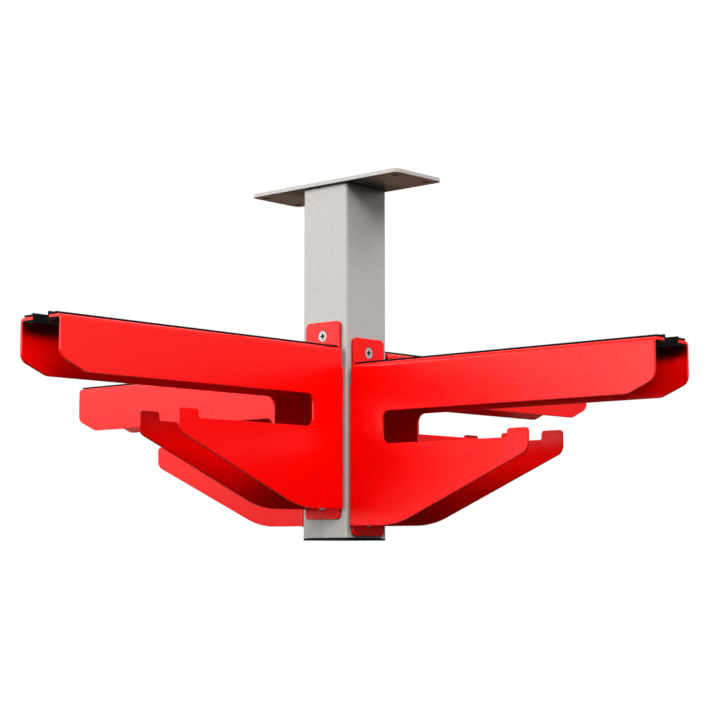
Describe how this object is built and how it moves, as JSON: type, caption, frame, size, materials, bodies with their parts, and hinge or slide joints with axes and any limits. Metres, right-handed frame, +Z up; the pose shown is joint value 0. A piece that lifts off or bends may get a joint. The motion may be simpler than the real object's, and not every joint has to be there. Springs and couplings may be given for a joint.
{
  "type": "ceiling ski rack",
  "caption": "Ceiling-hung rack: a square post under a plate carries folded steel brackets on its faces, each with a rubber-edged slot for ski tips and hooks for pole straps.",
  "frame": {"origin": "centre of the ceiling plate's top face, which lies on the ceiling", "axes": "+Z up into the ceiling, X along the plate's length and the two lower arms, Y along the two upper arms"},
  "size_m": [0.778, 0.778, 0.364],
  "materials": {
    "post_paint": "satin grey paint",
    "red_paint": "semi-gloss red powder coat",
    "trim_rubber": "matt black rubber",
    "cap_plastic": "fine-grained black plastic",
    "zinc_steel": "bright zinc plate"
  },
  "bodies": {
    "root": {"ceiling_plate": "post_paint", "post_tube": "post_paint", "post_weld": "post_paint", "end_cap": "cap_plastic", "bracket_front": "red_paint", "edge_trim_front_a": "trim_rubber", "edge_trim_front_b": "trim_rubber", "screw_front_upper": "zinc_steel", "rivet_nut_front_upper": "zinc_steel", "screw_front_lower": "zinc_steel", "rivet_nut_front_lower": "zinc_steel", "bracket_right": "red_paint", "edge_trim_right_a": "trim_rubber", "edge_trim_right_b": "trim_rubber", "screw_right_upper": "zinc_steel", "rivet_nut_right_upper": "zinc_steel", "screw_right_lower": "zinc_steel", "rivet_nut_right_lower": "zinc_steel", "bracket_back": "red_paint", "edge_trim_back_a": "trim_rubber", "edge_trim_back_b": "trim_rubber", "screw_back_upper": "zinc_steel", "rivet_nut_back_upper": "zinc_steel", "screw_back_lower": "zinc_steel", "rivet_nut_back_lower": "zinc_steel", "bracket_left": "red_paint", "edge_trim_left_a": "trim_rubber", "edge_trim_left_b": "trim_rubber", "screw_left_upper": "zinc_steel", "rivet_nut_left_upper": "zinc_steel", "screw_left_lower": "zinc_steel", "rivet_nut_left_lower": "zinc_steel"}
  },
  "joints": []
}
